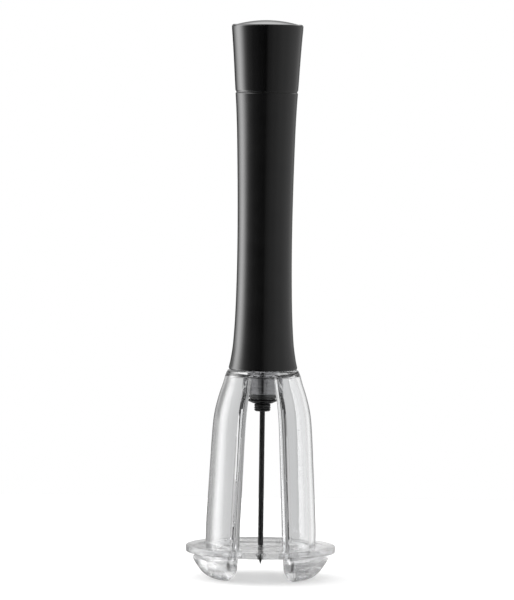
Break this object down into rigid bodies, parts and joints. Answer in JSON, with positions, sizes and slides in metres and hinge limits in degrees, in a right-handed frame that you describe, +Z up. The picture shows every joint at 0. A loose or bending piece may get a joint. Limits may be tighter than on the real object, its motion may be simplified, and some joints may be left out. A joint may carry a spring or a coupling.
{
  "type": "needle wine bottle opener",
  "caption": "Slim black handle over a clear two-legged guide that stands on a bottle neck, with a hollow needle that lets gas under the cork when the cap is pressed.",
  "frame": {"origin": "on the surface the opener stands on, on the needle's axis", "axes": "+Z up along the needle towards the press cap, +X towards the right-hand leg, -Y towards the viewer through the front slot"},
  "size_m": [0.068, 0.068, 0.2541],
  "materials": {
    "clear_plastic": "clear polished",
    "satin_black": "satin",
    "gloss_black": "gloss",
    "inner_black": "moulded",
    "needle_coating": "non-stick coating on steel",
    "seal_rubber": "matt",
    "steel": "ground",
    "can_aluminium": "drawn",
    "valve_plastic": "moulded"
  },
  "bodies": {
    "guide": {"bottle_guide": "clear_plastic", "foil_cutter_jaw_right": "clear_plastic", "foil_cutter_jaw_left": "clear_plastic", "wheel_pin_right_1": "steel", "wheel_pin_right_2": "steel", "wheel_pin_left_1": "steel", "wheel_pin_left_2": "steel", "needle": "needle_coating", "needle_nut": "inner_black", "needle_hub": "inner_black", "hub_core": "steel", "hub_seal": "seal_rubber", "hub_lock_nut": "steel", "stem_o_ring": "seal_rubber", "valve_stem": "valve_plastic", "valve_spring": "steel"},
    "handle": {"handle_barrel": "satin_black", "guide_sleeve": "inner_black"},
    "press_cap": {"press_cap": "gloss_black", "cap_dome": "gloss_black", "cap_plunger": "inner_black"},
    "cartridge": {"cartridge_can": "can_aluminium", "valve_ferrule": "can_aluminium", "valve_gasket": "seal_rubber", "valve_housing": "valve_plastic", "stem_gasket": "seal_rubber"},
    "ejector": {"ejector_disc": "clear_plastic"},
    "wheel_right_1": {"cutter_wheel_right_1": "steel"},
    "wheel_right_2": {"cutter_wheel_right_2": "steel"},
    "wheel_left_1": {"cutter_wheel_left_1": "steel"},
    "wheel_left_2": {"cutter_wheel_left_2": "steel"}
  },
  "joints": [
    {"name": "handle_lift", "type": "slide", "parent": "guide", "child": "handle", "axis": [0, 0, 1], "range_m": [0, 0.13]},
    {"name": "cap_press", "type": "slide", "parent": "handle", "child": "press_cap", "axis": [0, 0, -1], "range_m": [0, 0.0006], "stiffness_N_per_m": 4000, "springref_m": -0.003},
    {"name": "cartridge_press", "type": "slide", "parent": "guide", "child": "cartridge", "axis": [0, 0, -1], "range_m": [0, 0.0006], "deforming": ["valve_spring"]},
    {"name": "ejector_slide", "type": "slide", "parent": "guide", "child": "ejector", "axis": [0, 0, 1], "range_m": [0, 0.061]},
    {"name": "wheel_right_1_spin", "type": "hinge", "parent": "guide", "child": "wheel_right_1", "pos_m": [0.01697, -0.0098, 0.004], "axis": [0, 0, 1], "continuous": true},
    {"name": "wheel_right_2_spin", "type": "hinge", "parent": "guide", "child": "wheel_right_2", "pos_m": [0.01697, 0.0098, 0.004], "axis": [0, 0, 1], "continuous": true},
    {"name": "wheel_left_1_spin", "type": "hinge", "parent": "guide", "child": "wheel_left_1", "pos_m": [-0.01697, 0.0098, 0.004], "axis": [0, 0, 1], "continuous": true},
    {"name": "wheel_left_2_spin", "type": "hinge", "parent": "guide", "child": "wheel_left_2", "pos_m": [-0.01697, -0.0098, 0.004], "axis": [0, 0, 1], "continuous": true}
  ],
  "couplings": [
    {"joint": "cartridge_press", "follows": "cap_press", "ratio": 1}
  ]
}
